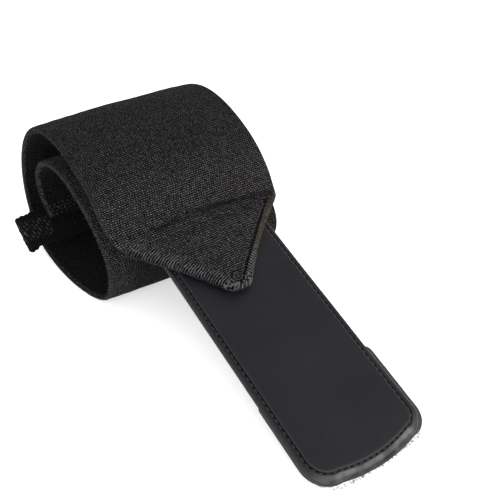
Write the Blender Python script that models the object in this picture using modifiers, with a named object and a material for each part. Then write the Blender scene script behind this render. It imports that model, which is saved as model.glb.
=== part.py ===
"""A rolled wrist wrap that lies on its side, with its rubber tab run out to the floor.

Design axes: +X along the tab to its free end, +Y along the roll's axis, +Z up.
The finished wrap stands on z = 0 with the centre of its box over the origin.
"""
import math
from collections import namedtuple

import bmesh
import bpy
import numpy as np
from mathutils import Vector

# Driving sizes, in metres

CLEARANCE = 0.0003

BAND_WIDTH = 0.080
BAND_THICKNESS = 0.0028
ROLL_DEPTH = 0.104
ROLL_HEIGHT = 0.075
ROLL_CROWN = 0.0014

FOLD_THICKNESS = 0.0050
FOLD_RAMP = 0.009
POINT_LENGTH = 0.0345
POINT_TIP_WIDTH = 0.0085
POINT_LEFT_SHOULDER = 0.0042
POINT_RIGHT_SHOULDER = 0.0016
POINT_SHOULDER_RUN = 0.012
POINT_LEFT_BOW = 0.0016
POINT_RIGHT_BOW = 0.0024
RIM_WIDTH = 0.0040
RIM_GROOVE_WIDTH = 0.0016
RIM_GROOVE_DEPTH = 0.0006
RIM_GROOVE_END_LIFT = 0.0032

TAB_WIDTH = 0.0524
TAB_LENGTH = 0.1138
TAB_THICKNESS = 0.0020
TAB_LEFT_CORNER_RADIUS = 0.0115
TAB_RIGHT_CORNER_RADIUS = 0.0085
TAB_END_BOW = 0.0022
TAB_TUCK = 0.0300
TAB_BORDER = 0.0024
TAB_GROOVE_WIDTH = 0.0009
TAB_GROOVE_DEPTH = 0.0008
TAB_GROOVE_WALL_RUN = 0.00025
TAB_PANEL_RISE = 0.0005
TAB_EDGE_ROUND = 0.0006

HOOK_LENGTH = 0.0420
HOOK_THICKNESS = 0.0016
HOOK_SIDE_OVERHANG = 0.0026
HOOK_CORNER_RADIUS = 0.0040

LOOP_WIDTH = 0.0175
LOOP_THICKNESS = 0.0015
LOOP_REACH = 0.0150
LOOP_SEWN_LENGTH = 0.0300
LOOP_HOLE = 0.0028
LOOP_OVERLAP = 0.0064
LOOP_FLARE = 0.0024

# Where things sit across the band, as shares of its width

POINT_CENTRE = 0.485
TAB_CENTRE = 0.545

# Other shares: how round a soft edge is, of its wall; how far the rim's groove runs back
# from the tip, of the point's side; how far along that run it keeps its depth; and how
# open the loop is where it leaves the band, of its bend. The roll's crown, which lifts the
# middle of the band above its edges, falls off with this power of the height.

EDGE_ROUNDING = 0.38
GROOVE_REACH = 0.80
GROOVE_LEVEL_RUN = 0.80
LOOP_MOUTH_OPENING = 0.85
CROWN_FALL = 3

# The band's route, seen along the roll's axis: its outer face from the base of the
# pointed end, over the top, down the back, along the floor and up inside, to the tail.
# along: from the back of the roll, a share of its depth
# height: above the floor, a share of its height
# shift: how far the turn has slid along the roll's axis, a share of the band's width
# skew: how far the right edge runs ahead of the left one, a share of the band's width
# A height just below zero is pressed flat on the floor.

Fold = namedtuple("Fold", "place along height shift skew")

BAND_ROUTE = (
    Fold("point_base", 0.995, 0.612, 0.010, 0.000),
    Fold("dip", 0.955, 0.665, 0.005, 0.000),
    Fold("brow", 0.912, 0.745, 0.000, 0.000),
    Fold("front_top", 0.825, 0.852, 0.000, 0.000),
    Fold("top_front", 0.700, 0.938, 0.000, 0.000),
    Fold("top", 0.560, 0.990, 0.000, 0.000),
    Fold("top_back", 0.410, 0.993, -0.003, 0.000),
    Fold("ridge", 0.265, 0.925, -0.010, 0.000),
    Fold("back_top", 0.135, 0.775, -0.018, 0.000),
    Fold("back_high", 0.045, 0.580, -0.024, 0.000),
    Fold("back", 0.005, 0.390, -0.030, 0.000),
    Fold("back_low", 0.025, 0.190, -0.040, 0.000),
    Fold("heel", 0.110, 0.045, -0.052, 0.000),
    Fold("rest_back", 0.240, -0.004, -0.062, 0.000),
    Fold("rest_middle", 0.430, -0.004, -0.060, 0.010),
    Fold("rest_front", 0.610, -0.004, -0.028, 0.040),
    Fold("toe", 0.722, 0.022, 0.010, 0.070),
    Fold("toe_rise", 0.802, 0.115, 0.026, 0.100),
    Fold("front_low", 0.850, 0.250, 0.024, 0.130),
    Fold("front", 0.866, 0.400, 0.018, 0.140),
    Fold("front_high", 0.840, 0.530, 0.010, 0.120),
    Fold("under_front", 0.768, 0.645, 0.004, 0.090),
    Fold("under_brow", 0.665, 0.735, 0.000, 0.060),
    Fold("under_top", 0.545, 0.790, -0.004, 0.030),
    Fold("under_back", 0.420, 0.790, -0.010, 0.010),
    Fold("arch", 0.305, 0.725, -0.018, 0.000),
    Fold("arch_back", 0.230, 0.610, -0.022, 0.000),
    Fold("tail_high", 0.205, 0.490, -0.022, 0.000),
    Fold("tail", 0.235, 0.390, -0.022, 0.000),
    Fold("tail_end", 0.310, 0.310, -0.022, 0.000),
)

# How finely the soft pieces are divided

ROUTE_STEPS = 66
POINT_STEPS = 8
BAND_COLUMNS = 8
CORNER_STEPS = 6
END_STEPS = 8
LOOP_BEND_STEPS = 8
SOFT_ROUNDING_SEGMENTS = 2

# Limits, in degrees and metres: turns drawn as smooth, corners that are rounded, and how
# close points are when they are one

SMOOTH_TURN_LIMIT = 40.0
ROUNDED_CORNER_LIMIT = 60.0
WELD_DISTANCE = 0.00001

COLOURS = {
    "elastic_band": ((0.030, 0.028, 0.030), 0.92),
    "tab": ((0.036, 0.036, 0.039), 0.48),
    "hook_patch": ((0.020, 0.020, 0.021), 0.85),
    "thumb_loop": ((0.018, 0.018, 0.018), 0.90),
}


def clear_scene():
    for item in list(bpy.data.objects):
        bpy.data.objects.remove(item, do_unlink=True)


def principled(name):
    colour, roughness = COLOURS[name]
    material = bpy.data.materials.new(name)
    material.use_nodes = True
    shader = material.node_tree.nodes["Principled BSDF"]
    shader.inputs["Base Color"].default_value = (*colour, 1.0)
    shader.inputs["Roughness"].default_value = roughness
    shader.inputs["Metallic"].default_value = 0.0
    return material


def add_object(name, mesh, collection, parent):
    item = bpy.data.objects.new(name, mesh)
    collection.objects.link(item)
    item.parent = parent
    mesh.materials.append(principled(name))
    return item


def shade_round(mesh):
    mesh.shade_smooth()
    mesh.set_sharp_from_angle(angle=math.radians(SMOOTH_TURN_LIMIT))


def smooth_curve(knots, values, samples):
    """Values at the samples, on a natural cubic spline through the values at the knots."""
    count = len(knots)
    gaps = np.diff(knots)
    system = np.eye(count)
    bends = np.zeros_like(values)
    for i in range(1, count - 1):
        system[i, i - 1:i + 2] = gaps[i - 1], 2 * (gaps[i - 1] + gaps[i]), gaps[i]
        rise_after = (values[i + 1] - values[i]) / gaps[i]
        rise_before = (values[i] - values[i - 1]) / gaps[i - 1]
        bends[i] = 6 * (rise_after - rise_before)
    bends = np.linalg.solve(system, bends)
    k = np.clip(np.searchsorted(knots, samples) - 1, 0, count - 2)
    width = gaps[k][:, None]
    left = (samples - knots[k])[:, None]
    right = (knots[k + 1] - samples)[:, None]
    curved = (bends[k] * right ** 3 + bends[k + 1] * left ** 3) / (6 * width)
    start = (values[k] / width - bends[k] * width / 6) * right
    end = (values[k + 1] / width - bends[k + 1] * width / 6) * left
    return curved + start + end


def route_rows(steps):
    """Rows of x, z, shift and skew along the roll's outer face, from the point's base to the tail."""
    rows = np.array([(fold.along, fold.height, fold.shift, fold.skew) for fold in BAND_ROUTE])
    rows = rows * (ROLL_DEPTH, ROLL_HEIGHT, BAND_WIDTH, BAND_WIDTH)
    spans = np.linalg.norm(np.diff(rows[:, :2], axis=0), axis=1)
    knots = np.concatenate(([0.0], np.cumsum(spans)))
    route = smooth_curve(knots, rows, np.linspace(0.0, knots[-1], steps + 1))
    route[:, 1] = np.maximum(route[:, 1], 0.0)
    return route


def plank_frame():
    """Start and downward slope of the straight run that the pointed end and the tab share.

    The slope brings the lowest edge of the hook patch onto the floor.
    """
    base = BAND_ROUTE[0]
    start = Vector((base.along * ROLL_DEPTH, 0.0, base.height * ROLL_HEIGHT))
    depth = FOLD_THICKNESS + TAB_PANEL_RISE + TAB_THICKNESS + HOOK_THICKNESS + 2 * CLEARANCE
    reach = POINT_LENGTH - TAB_TUCK + TAB_LENGTH
    slope = math.asin(start.z / math.hypot(reach, depth)) - math.atan2(depth, reach)
    return start, slope


def point_corners():
    """Where the pointed end's sides start at its base, left and right, and where they end at its tip."""
    slid = BAND_ROUTE[0].shift * BAND_WIDTH
    tip_left = POINT_CENTRE * BAND_WIDTH - POINT_TIP_WIDTH / 2
    base_left = slid + POINT_LEFT_SHOULDER
    base_right = slid + BAND_WIDTH - POINT_RIGHT_SHOULDER
    return base_left, base_right, tip_left, tip_left + POINT_TIP_WIDTH


def point_rows(steps):
    """Rows of x, z, left edge and right edge on the pointed end, from its tip to its base."""
    start, slope = plank_frame()
    base_left, base_right, tip_left, tip_right = point_corners()
    rows = []
    for i in range(steps):
        share = 1.0 - i / steps
        run = share * POINT_LENGTH
        bow = math.sin(math.pi * share)
        left = base_left + share * (tip_left - base_left) + POINT_LEFT_BOW * bow
        right = base_right + share * (tip_right - base_right) - POINT_RIGHT_BOW * bow
        rows.append((start.x + run * math.cos(slope), start.z - run * math.sin(slope), left, right))
    return rows


def shoulder_at(travelled):
    """How much of the point's shoulders, where its sides start, is left this far behind its base."""
    return max(0.0, 1.0 - travelled / POINT_SHOULDER_RUN) ** 2


def crown_at(z, share):
    """How far a place across the band stands above its edges at this height."""
    return ROLL_CROWN * (z / ROLL_HEIGHT) ** CROWN_FALL * math.sin(math.pi * share)


def band_grid():
    """Outer face of the band as rows of points, with each row's share of the folded thickness."""
    grid = []
    weights = []
    shares = [i / BAND_COLUMNS for i in range(BAND_COLUMNS + 1)]
    for x, z, left, right in point_rows(POINT_STEPS):
        grid.append([Vector((x, left + (right - left) * share, z)) for share in shares])
        weights.append(1.0)
    single = BAND_THICKNESS / FOLD_THICKNESS
    travelled = 0.0
    previous = None
    for x, z, shift, skew in route_rows(ROUTE_STEPS):
        if previous is not None:
            travelled += math.hypot(x - previous[0], z - previous[1])
        previous = (x, z)
        left = shift + POINT_LEFT_SHOULDER * shoulder_at(travelled)
        width = shift + BAND_WIDTH - POINT_RIGHT_SHOULDER * shoulder_at(travelled) - left
        grid.append([
            Vector((x + skew * share, left + width * share, z + crown_at(z, share)))
            for share in shares
        ])
        weights.append(max(single, 1.0 - (1.0 - single) * travelled / FOLD_RAMP))
    return grid, weights


def inset_corner(before, corner, after, distance):
    """The corner of an outline moved in by distance from both of its edges."""
    first = (corner - before).normalized()
    second = (after - corner).normalized()
    inward = Vector((-first.y - second.y, first.x + second.x)).normalized()
    half_turn = first.angle(second) / 2
    return corner + inward * distance / math.cos(half_turn)


def rim_groove_points():
    """Route of the groove inside the point's rim, on the outer face, fading out at both ends."""
    start, slope = plank_frame()
    base_left, base_right, tip_left, tip_right = point_corners()
    outline = [
        Vector((0.0, base_left)),
        Vector((POINT_LENGTH, tip_left)),
        Vector((POINT_LENGTH, tip_right)),
        Vector((0.0, base_right)),
    ]
    tips = [inset_corner(outline[i - 1], outline[i], outline[i + 1], RIM_WIDTH) for i in (1, 2)]
    ends = [
        tips[0] + (outline[0] - outline[1]) * GROOVE_REACH,
        tips[1] + (outline[3] - outline[2]) * GROOVE_REACH,
    ]
    lift = RIM_GROOVE_WIDTH / 2 - RIM_GROOVE_DEPTH
    flat = [
        (ends[0], RIM_GROOVE_END_LIFT),
        (tips[0].lerp(ends[0], GROOVE_LEVEL_RUN), lift),
        (tips[0], lift),
        (tips[1], lift),
        (tips[1].lerp(ends[1], GROOVE_LEVEL_RUN), lift),
        (ends[1], RIM_GROOVE_END_LIFT),
    ]
    points = []
    for place, height in flat:
        x = start.x + place.x * math.cos(slope) + height * math.sin(slope)
        z = start.z - place.x * math.sin(slope) + height * math.cos(slope)
        points.append((x, place.y, z))
    return points


def build_rim_groove_cutter(cutters, parent):
    """A thin tube along the groove's route, made a closed mesh so that it can cut."""
    curve = bpy.data.curves.new("rim_groove_route", "CURVE")
    curve.dimensions = "3D"
    curve.bevel_depth = RIM_GROOVE_WIDTH / 2
    curve.bevel_resolution = 1
    curve.use_fill_caps = True
    points = rim_groove_points()
    spline = curve.splines.new("POLY")
    spline.points.add(len(points) - 1)
    for point, place in zip(spline.points, points):
        point.co = (*place, 1.0)
    guide = bpy.data.objects.new("rim_groove_route", curve)
    cutters.objects.link(guide)
    bpy.context.view_layer.update()
    graph = bpy.context.evaluated_depsgraph_get()
    mesh = bpy.data.meshes.new_from_object(guide.evaluated_get(graph))
    bm = bmesh.new()
    bm.from_mesh(mesh)
    bmesh.ops.remove_doubles(bm, verts=bm.verts, dist=WELD_DISTANCE)
    bmesh.ops.recalc_face_normals(bm, faces=bm.faces)
    bm.to_mesh(mesh)
    bm.free()
    cutter = bpy.data.objects.new("rim_groove", mesh)
    cutter.matrix_world = guide.matrix_world
    cutter.parent = parent
    cutter.hide_render = True
    cutter.display_type = "WIRE"
    cutters.objects.link(cutter)
    bpy.data.objects.remove(guide, do_unlink=True)
    return cutter


def build_elastic_band(collection, cutters, parent):
    """One strip of elastic: a grid bent along the route, thickened inwards, with round edges."""
    grid, weights = band_grid()
    rows = len(grid)
    columns = len(grid[0])
    bm = bmesh.new()
    bmesh.ops.create_grid(bm, x_segments=rows - 1, y_segments=columns - 1, size=0.5)
    thickness = bm.verts.layers.deform.verify()
    for vert in bm.verts:
        row = round((vert.co.x + 0.5) * (rows - 1))
        column = round((vert.co.y + 0.5) * (columns - 1))
        vert.co = grid[row][column]
        vert[thickness][0] = weights[row]
    bmesh.ops.reverse_faces(bm, faces=bm.faces)
    mesh = bpy.data.meshes.new("elastic_band")
    bm.to_mesh(mesh)
    bm.free()
    shade_round(mesh)
    band = add_object("elastic_band", mesh, collection, parent)
    band.vertex_groups.new(name="thickness")
    shell = band.modifiers.new("wall", "SOLIDIFY")
    shell.thickness = FOLD_THICKNESS
    shell.offset = -1.0
    shell.use_even_offset = True
    shell.vertex_group = "thickness"
    shell.thickness_vertex_group = 0.0
    rounding = band.modifiers.new("round_edges", "BEVEL")
    rounding.width = EDGE_ROUNDING * BAND_THICKNESS
    rounding.segments = SOFT_ROUNDING_SEGMENTS
    rounding.limit_method = "ANGLE"
    rounding.angle_limit = math.radians(ROUNDED_CORNER_LIMIT)
    groove = band.modifiers.new("rim_groove", "BOOLEAN")
    groove.object = build_rim_groove_cutter(cutters, parent)
    groove.operation = "DIFFERENCE"
    groove.solver = "EXACT"
    return band


def arc(centre, radius, start, end, steps):
    """Points on an arc, angles in degrees."""
    points = []
    for i in range(steps + 1):
        angle = math.radians(start + (end - start) * i / steps)
        points.append((centre[0] + radius * math.cos(angle), centre[1] + radius * math.sin(angle)))
    return points


def tongue_outline(start, end, left, right, start_radius=0.0):
    """Outline of a flat tongue along +X, with round corners and a slightly bowed free end."""
    left_radius, right_radius = TAB_LEFT_CORNER_RADIUS, TAB_RIGHT_CORNER_RADIUS
    shoulder = end - TAB_END_BOW
    straight = right - left - left_radius - right_radius
    near = start + start_radius
    points = []
    if start_radius:
        points += arc((near, left + start_radius), start_radius, 180, 270, CORNER_STEPS // 2)
    else:
        points.append((start, left))
    points += arc((shoulder - left_radius, left + left_radius), left_radius, -90, 0, CORNER_STEPS)
    for i in range(1, END_STEPS):
        share = i / END_STEPS
        bow = TAB_END_BOW * 4 * share * (1 - share)
        points.append((shoulder + bow, left + left_radius + share * straight))
    points += arc((shoulder - right_radius, right - right_radius), right_radius, 0, 90, CORNER_STEPS)
    if start_radius:
        points += arc((near, right - start_radius), start_radius, 90, 180, CORNER_STEPS // 2)
    else:
        points.append((start, right))
    return points


def plate(outline, thickness):
    """A flat plate whose top is z = 0; returns the mesh being built and its top face."""
    bm = bmesh.new()
    bottom = bm.faces.new([bm.verts.new((x, y, -thickness)) for x, y in outline])
    bottom.normal_flip()
    made = bmesh.ops.extrude_face_region(bm, geom=[bottom], use_keep_orig=True)
    raised = [item for item in made["geom"] if isinstance(item, bmesh.types.BMVert)]
    bmesh.ops.translate(bm, verts=raised, vec=(0.0, 0.0, thickness))
    bmesh.ops.recalc_face_normals(bm, faces=bm.faces)
    bm.faces.ensure_lookup_table()
    top = max(bm.faces, key=lambda face: face.calc_center_median().z)
    return bm, top


def step_in(bm, top, inset, rise):
    """Moves the top face in from its edge by inset and up by rise."""
    bmesh.ops.inset_region(bm, faces=[top], thickness=inset, depth=rise, use_even_offset=True)


def place_on_plank(item, run, depth):
    """Sets a flat piece on the sloping run, its top at this depth below the pointed end's top."""
    start, slope = plank_frame()
    item.location = (
        start.x + run * math.cos(slope) - depth * math.sin(slope),
        0.0,
        start.z - run * math.sin(slope) - depth * math.cos(slope),
    )
    item.rotation_euler = (0.0, slope, 0.0)


def tab_sides():
    middle = TAB_CENTRE * BAND_WIDTH
    return middle - TAB_WIDTH / 2, middle + TAB_WIDTH / 2


def build_tab(collection, parent):
    """Rubber tab: a border with a round edge, a stitching groove, and a raised panel inside it."""
    left, right = tab_sides()
    outline = tongue_outline(0.0, TAB_LENGTH, left, right)
    bm, top = plate(outline, TAB_THICKNESS)
    bmesh.ops.translate(bm, verts=top.verts, vec=(0.0, 0.0, -TAB_EDGE_ROUND))
    step_in(bm, top, TAB_EDGE_ROUND, TAB_EDGE_ROUND)
    step_in(bm, top, TAB_BORDER - TAB_EDGE_ROUND, 0.0)
    step_in(bm, top, TAB_GROOVE_WALL_RUN, -TAB_GROOVE_DEPTH)
    step_in(bm, top, TAB_GROOVE_WIDTH - 2 * TAB_GROOVE_WALL_RUN, 0.0)
    step_in(bm, top, TAB_GROOVE_WALL_RUN, TAB_GROOVE_DEPTH + TAB_PANEL_RISE)
    mesh = bpy.data.meshes.new("tab")
    bm.to_mesh(mesh)
    bm.free()
    tab = add_object("tab", mesh, collection, parent)
    place_on_plank(tab, POINT_LENGTH - TAB_TUCK, FOLD_THICKNESS + CLEARANCE + TAB_PANEL_RISE)
    return tab


def build_hook_patch(collection, parent):
    """Hook tape under the tab's outer part, standing out past the tab's right side."""
    left, right = tab_sides()
    outline = tongue_outline(
        TAB_LENGTH - HOOK_LENGTH,
        TAB_LENGTH,
        left,
        right + HOOK_SIDE_OVERHANG,
        start_radius=HOOK_CORNER_RADIUS,
    )
    bm, top = plate(outline, HOOK_THICKNESS)
    mesh = bpy.data.meshes.new("hook_patch")
    bm.to_mesh(mesh)
    bm.free()
    patch = add_object("hook_patch", mesh, collection, parent)
    above = FOLD_THICKNESS + TAB_PANEL_RISE + TAB_THICKNESS + 2 * CLEARANCE
    place_on_plank(patch, POINT_LENGTH - TAB_TUCK, above)
    return patch


def tail_frame():
    """End of the band's tail: a point on its left edge, its direction, its outward side, its shift."""
    rows = route_rows(ROUTE_STEPS)
    end = rows[-1]
    ahead = Vector((end[0] - rows[-2][0], 0.0, end[1] - rows[-2][1])).normalized()
    outward = Vector((ahead.z, 0.0, -ahead.x))
    return Vector((end[0], 0.0, end[1])), ahead, outward, end[2]


def loop_profile():
    """Places along the webbing's middle, from under the tail, round the bend and back.

    Each is its y, its distance out from the tail and how far it has slid up the tail.
    """
    shift = tail_frame()[3]
    near = CLEARANCE + LOOP_THICKNESS / 2
    far = near + LOOP_THICKNESS + CLEARANCE
    bend = (LOOP_HOLE + LOOP_THICKNESS) / 2
    middle = (near + far) / 2
    sewn = shift + LOOP_SEWN_LENGTH
    centre = shift - LOOP_REACH + bend + LOOP_THICKNESS / 2
    mouth = (centre + shift) / 2
    profile = [(sewn, near, 0.0), (shift + LOOP_SEWN_LENGTH / 2, near, 0.0), (shift, near, 0.0)]
    profile.append((mouth, middle - bend * LOOP_MOUTH_OPENING, 0.0))
    for i in range(LOOP_BEND_STEPS + 1):
        angle = math.radians(-90 - 180 * i / LOOP_BEND_STEPS)
        profile.append((centre + bend * math.cos(angle), middle + bend * math.sin(angle), 0.0))
    profile.append((mouth, middle + bend * LOOP_MOUTH_OPENING, LOOP_FLARE / 2))
    profile.append((shift, far, LOOP_FLARE))
    profile += [(shift + LOOP_SEWN_LENGTH / 2, far, LOOP_FLARE), (sewn, far, LOOP_FLARE)]
    return profile


def build_thumb_loop(collection, parent):
    """Narrow webbing folded into a loop behind the tail, with its bend outside the roll."""
    corner, ahead, outward, shift = tail_frame()
    profile = loop_profile()
    bm = bmesh.new()
    bmesh.ops.create_grid(bm, x_segments=len(profile) - 1, y_segments=1, size=0.5)
    for vert in bm.verts:
        y, out, slide = profile[round((vert.co.x + 0.5) * (len(profile) - 1))]
        along = LOOP_WIDTH * (vert.co.y + 0.5) - LOOP_OVERLAP - slide
        vert.co = corner + ahead * along + outward * out
        vert.co.y = y
    mesh = bpy.data.meshes.new("thumb_loop")
    bm.to_mesh(mesh)
    bm.free()
    shade_round(mesh)
    loop = add_object("thumb_loop", mesh, collection, parent)
    shell = loop.modifiers.new("wall", "SOLIDIFY")
    shell.thickness = LOOP_THICKNESS
    shell.offset = 0.0
    shell.use_even_offset = True
    rounding = loop.modifiers.new("round_edges", "BEVEL")
    rounding.width = EDGE_ROUNDING * LOOP_THICKNESS
    rounding.segments = 1
    rounding.limit_method = "ANGLE"
    rounding.angle_limit = math.radians(ROUNDED_CORNER_LIMIT)
    return loop


def centre_on_origin(root, items):
    """Moves the whole wrap so that its box is centred over the origin and its lowest point is z = 0."""
    bpy.context.view_layer.update()
    graph = bpy.context.evaluated_depsgraph_get()
    corners = []
    for item in items:
        shape = item.evaluated_get(graph)
        corners += [shape.matrix_world @ vert.co for vert in shape.to_mesh().vertices]
        shape.to_mesh_clear()
    low = Vector([min(corner[axis] for corner in corners) for axis in range(3)])
    high = Vector([max(corner[axis] for corner in corners) for axis in range(3)])
    root.location = (-(low.x + high.x) / 2, -(low.y + high.y) / 2, -low.z)
    bpy.context.view_layer.update()


def main():
    clear_scene()
    collection = bpy.data.collections.new("wrist_wrap")
    bpy.context.scene.collection.children.link(collection)
    cutters = bpy.data.collections.new("cutters")
    bpy.context.scene.collection.children.link(cutters)
    root = bpy.data.objects.new("wrist_wrap", None)
    collection.objects.link(root)
    items = [
        build_elastic_band(collection, cutters, root),
        build_tab(collection, root),
        build_hook_patch(collection, root),
        build_thumb_loop(collection, root),
    ]
    centre_on_origin(root, items)


main()
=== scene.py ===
"""Looks of the rolled wrist wrap: woven elastic, rubber tab, hook tape and knitted thumb loop.

Lengths are in metres. The wrap's own axes are those of its solids before they are centred:
+X along the tab to its free end, +Y along the roll's axis, +Z up. HOME moves them to the frame.
"""

import math
import random
from collections import namedtuple

import bpy
import numpy as np
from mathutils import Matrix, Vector


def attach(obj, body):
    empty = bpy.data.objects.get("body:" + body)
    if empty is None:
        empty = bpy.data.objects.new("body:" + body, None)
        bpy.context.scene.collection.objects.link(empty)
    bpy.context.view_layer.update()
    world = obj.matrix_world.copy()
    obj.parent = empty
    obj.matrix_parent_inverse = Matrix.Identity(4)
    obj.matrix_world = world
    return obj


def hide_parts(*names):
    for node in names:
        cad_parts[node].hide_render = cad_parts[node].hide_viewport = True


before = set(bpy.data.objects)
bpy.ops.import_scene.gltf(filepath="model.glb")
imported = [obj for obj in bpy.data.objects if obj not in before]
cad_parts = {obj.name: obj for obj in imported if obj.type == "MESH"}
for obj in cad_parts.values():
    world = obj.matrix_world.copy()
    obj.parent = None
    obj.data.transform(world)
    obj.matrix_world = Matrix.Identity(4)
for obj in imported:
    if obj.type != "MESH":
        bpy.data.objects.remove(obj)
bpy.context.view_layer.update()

MM = 0.001
HOME = np.array((-0.107206, -0.032757, 0.0))

# Sizes that the solids have

CLEARANCE = 0.0003
BAND_WIDTH = 0.080
BAND_THICKNESS = 0.0028
ROLL_DEPTH = 0.104
ROLL_HEIGHT = 0.075
ROLL_CROWN = 0.0014
CROWN_FALL = 3
FOLD_THICKNESS = 0.0050
FOLD_RAMP = 0.009
POINT_LENGTH = 0.0345
POINT_TIP_WIDTH = 0.0085
POINT_LEFT_SHOULDER = 0.0042
POINT_RIGHT_SHOULDER = 0.0016
POINT_SHOULDER_RUN = 0.012
POINT_LEFT_BOW = 0.0016
POINT_RIGHT_BOW = 0.0024
POINT_CENTRE = 0.485
TAB_WIDTH = 0.0524
TAB_LENGTH = 0.1138
TAB_THICKNESS = 0.0020
TAB_LEFT_CORNER_RADIUS = 0.0115
TAB_RIGHT_CORNER_RADIUS = 0.0085
TAB_END_BOW = 0.0022
TAB_TUCK = 0.0300
TAB_PANEL_RISE = 0.0005
TAB_CENTRE = 0.545
HOOK_LENGTH = 0.0420
HOOK_THICKNESS = 0.0016
HOOK_SIDE_OVERHANG = 0.0026
HOOK_CORNER_RADIUS = 0.0040
LOOP_WIDTH = 0.0175
LOOP_THICKNESS = 0.0015
LOOP_REACH = 0.0150
LOOP_SEWN_LENGTH = 0.0300
LOOP_HOLE = 0.0028
LOOP_OVERLAP = 0.0064
LOOP_FLARE = 0.0024
LOOP_MOUTH_OPENING = 0.85

# The band's route, as the solids have it: shares of the roll's depth and height, then of
# the band's width for the slide along the roll and the lead of the right edge

Fold = namedtuple("Fold", "place along height shift skew")

BAND_ROUTE = (
    Fold("point_base", 0.995, 0.612, 0.010, 0.000),
    Fold("dip", 0.955, 0.665, 0.005, 0.000),
    Fold("brow", 0.912, 0.745, 0.000, 0.000),
    Fold("front_top", 0.825, 0.852, 0.000, 0.000),
    Fold("top_front", 0.700, 0.938, 0.000, 0.000),
    Fold("top", 0.560, 0.990, 0.000, 0.000),
    Fold("top_back", 0.410, 0.993, -0.003, 0.000),
    Fold("ridge", 0.265, 0.925, -0.010, 0.000),
    Fold("back_top", 0.135, 0.775, -0.018, 0.000),
    Fold("back_high", 0.045, 0.580, -0.024, 0.000),
    Fold("back", 0.005, 0.390, -0.030, 0.000),
    Fold("back_low", 0.025, 0.190, -0.040, 0.000),
    Fold("heel", 0.110, 0.045, -0.052, 0.000),
    Fold("rest_back", 0.240, -0.004, -0.062, 0.000),
    Fold("rest_middle", 0.430, -0.004, -0.060, 0.010),
    Fold("rest_front", 0.610, -0.004, -0.028, 0.040),
    Fold("toe", 0.722, 0.022, 0.010, 0.070),
    Fold("toe_rise", 0.802, 0.115, 0.026, 0.100),
    Fold("front_low", 0.850, 0.250, 0.024, 0.130),
    Fold("front", 0.866, 0.400, 0.018, 0.140),
    Fold("front_high", 0.840, 0.530, 0.010, 0.120),
    Fold("under_front", 0.768, 0.645, 0.004, 0.090),
    Fold("under_brow", 0.665, 0.735, 0.000, 0.060),
    Fold("under_top", 0.545, 0.790, -0.004, 0.030),
    Fold("under_back", 0.420, 0.790, -0.010, 0.010),
    Fold("arch", 0.305, 0.725, -0.018, 0.000),
    Fold("arch_back", 0.230, 0.610, -0.022, 0.000),
    Fold("tail_high", 0.205, 0.490, -0.022, 0.000),
    Fold("tail", 0.235, 0.390, -0.022, 0.000),
    Fold("tail_end", 0.310, 0.310, -0.022, 0.000),
)

# What the cloth adds

RIB_PITCH = 0.00091
RIB_HEIGHT = 0.00010
INNER_RIB_HEIGHT = 0.00006
ROWS_PER_RIB = 3
EDGE_TEETH = 0.00032
EDGE_TEETH_REACH = 0.0016
WAVINESS = 0.00022
WAVINESS_LENGTH = 0.026
DIMPLE_DEPTH = 0.00010
DIMPLE_LENGTH = 0.007
BAND_EDGE_ROUND = 0.0011
POINT_EDGE_ROUND = 0.0021
TAIL_EDGE_ROUND = 0.0012
EDGE_ROUNDNESS = 2.3
POINT_LEFT_CORNER = 0.0034
POINT_RIGHT_CORNER = 0.0014
RIM_WIDTH = 0.0038
RIM_SWELL = 0.00035
RIM_SWELL_RUN = 0.0012
RIM_GROOVE = 0.00075
RIM_GROOVE_HALF_WIDTH = 0.0008
BASE_CREASE = 0.0009
CREASE_ABOVE = 0.0008
CREASE_BELOW = 0.0017
CREASE_SWAY = 0.00050
KNIT_ROW = 0.0016
KNIT_CELL = 0.0029
KNIT_RELIEF = 0.00030
KNIT_EDGE_ROUND = 0.0007
KNIT_EDGE_WAVE = 0.00025
KNIT_EDGE_PITCH = 0.00125
RING_AT = (-0.0297, 0.0381)
RING_RADIUS = 0.0020
SEAM_BACK = 0.0060
LEAST_HEIGHT = 0.00004
ROUTE_SAMPLES = 6000
POINT_SAMPLES = 500
TIP_ROWS = (0.0, 0.00012, 0.0003, 0.0006)
BASE_SMOOTHING_ROWS = 7
BASE_SMOOTHING_REACH = 0.004
FRONT_WALL_START = (0.205, 0.225)
FRONT_WALL_END = (0.300, 0.285)

# Where the crease at the point's base runs: across the band, and behind the point's base

BASE_CREASE_LINE = (
    (0.000, 0.0048),
    (0.009, 0.0048),
    (0.019, 0.0047),
    (0.028, 0.0051),
    (0.036, 0.0057),
    (0.050, 0.0053),
    (0.060, 0.0048),
    (0.070, 0.0034),
    (0.080, 0.0018),
)

# The band's cross-section: shares of its width, from an edge to the middle

OUTER_HALF = (
    0.0, 0.0015, 0.005, 0.011, 0.020, 0.031, 0.043, 0.055, 0.067, 0.079, 0.091,
    0.104, 0.118, 0.135, 0.160, 0.200, 0.250, 0.300, 0.360, 0.430, 0.5,
)
INNER_HALF = (0.0, 0.005, 0.015, 0.035, 0.070, 0.130, 0.200, 0.300, 0.400, 0.5)
LOOP_COLUMNS = 62
LOOP_STEP = 0.00028

# The tab's edge, from below to its panel, and the hook tape's: how far in, how high, and for
# the tab how worn and how deep in painted shadow

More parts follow.
